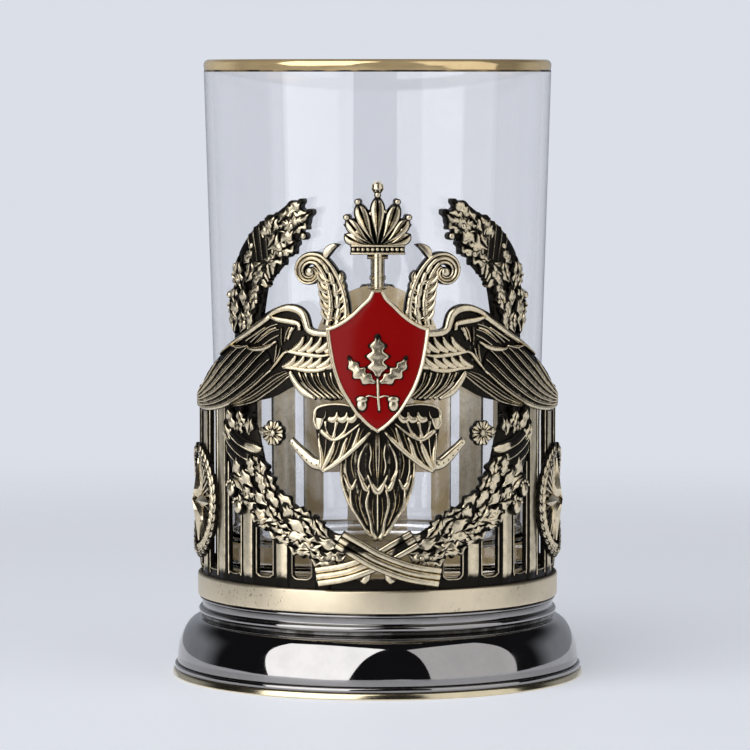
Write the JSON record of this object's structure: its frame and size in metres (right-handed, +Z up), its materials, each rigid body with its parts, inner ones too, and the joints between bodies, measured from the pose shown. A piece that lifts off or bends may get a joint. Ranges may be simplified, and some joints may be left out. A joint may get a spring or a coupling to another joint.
{
  "type": "podstakannik tea glass holder",
  "caption": "Cast metal tea glass holder with a wreath, wings and an enamelled shield on the front, a strap handle behind, and a gold-lipped glass that lifts out.",
  "frame": {"origin": "centre of the flat underside of the base plate", "axes": "+Z up along the glass's axis, -Y towards the enamelled shield (front), +Y towards the handle, +X to the right seen from the front"},
  "size_m": [0.0814, 0.1025, 0.1212],
  "materials": {
    "antique_metal": "polished pale nickel silver with black patina in the recesses",
    "plain_metal": "satin pale nickel silver",
    "satin_band": "satin, faint patina specks",
    "pale_brass": "polished pale brass",
    "dark_chrome": "black chrome, mirror polish",
    "steel": "turned steel",
    "red_enamel": "deep red vitreous enamel, glossy",
    "clear_glass": "clear, thin, polished",
    "gold": "burnished gold"
  },
  "bodies": {
    "holder": {"base_plate": "pale_brass", "foot_shell": "dark_chrome", "clamp_screw": "steel", "wall_band": "satin_band", "floor_plate": "antique_metal", "cage": "antique_metal", "back_plate": "plain_metal", "handle": "antique_metal", "handle_rivets": "antique_metal", "left_garland": "antique_metal", "right_garland": "antique_metal", "left_branch": "antique_metal", "right_branch": "antique_metal", "left_wing": "antique_metal", "right_wing": "antique_metal", "left_scroll": "antique_metal", "right_scroll": "antique_metal", "shield_frame": "antique_metal", "shield_enamel": "red_enamel", "oak_sprig": "antique_metal", "finial": "antique_metal", "finial_knob": "antique_metal", "left_lobe": "antique_metal", "right_lobe": "antique_metal", "tail_husk": "antique_metal", "left_stem": "antique_metal", "right_stem": "antique_metal", "left_rosette": "antique_metal", "right_rosette": "antique_metal", "left_ribbon": "antique_metal", "right_ribbon": "antique_metal", "garland_stalks": "antique_metal", "left_medallion": "antique_metal", "right_medallion": "antique_metal", "left_star": "antique_metal", "right_star": "antique_metal"},
    "glass": {"tea_glass": "clear_glass", "gold_rim": "gold"}
  },
  "joints": [
    {"name": "glass_lift", "type": "slide", "parent": "holder", "child": "glass", "axis": [0, 0, 1], "range_m": [0, 0.105]}
  ]
}
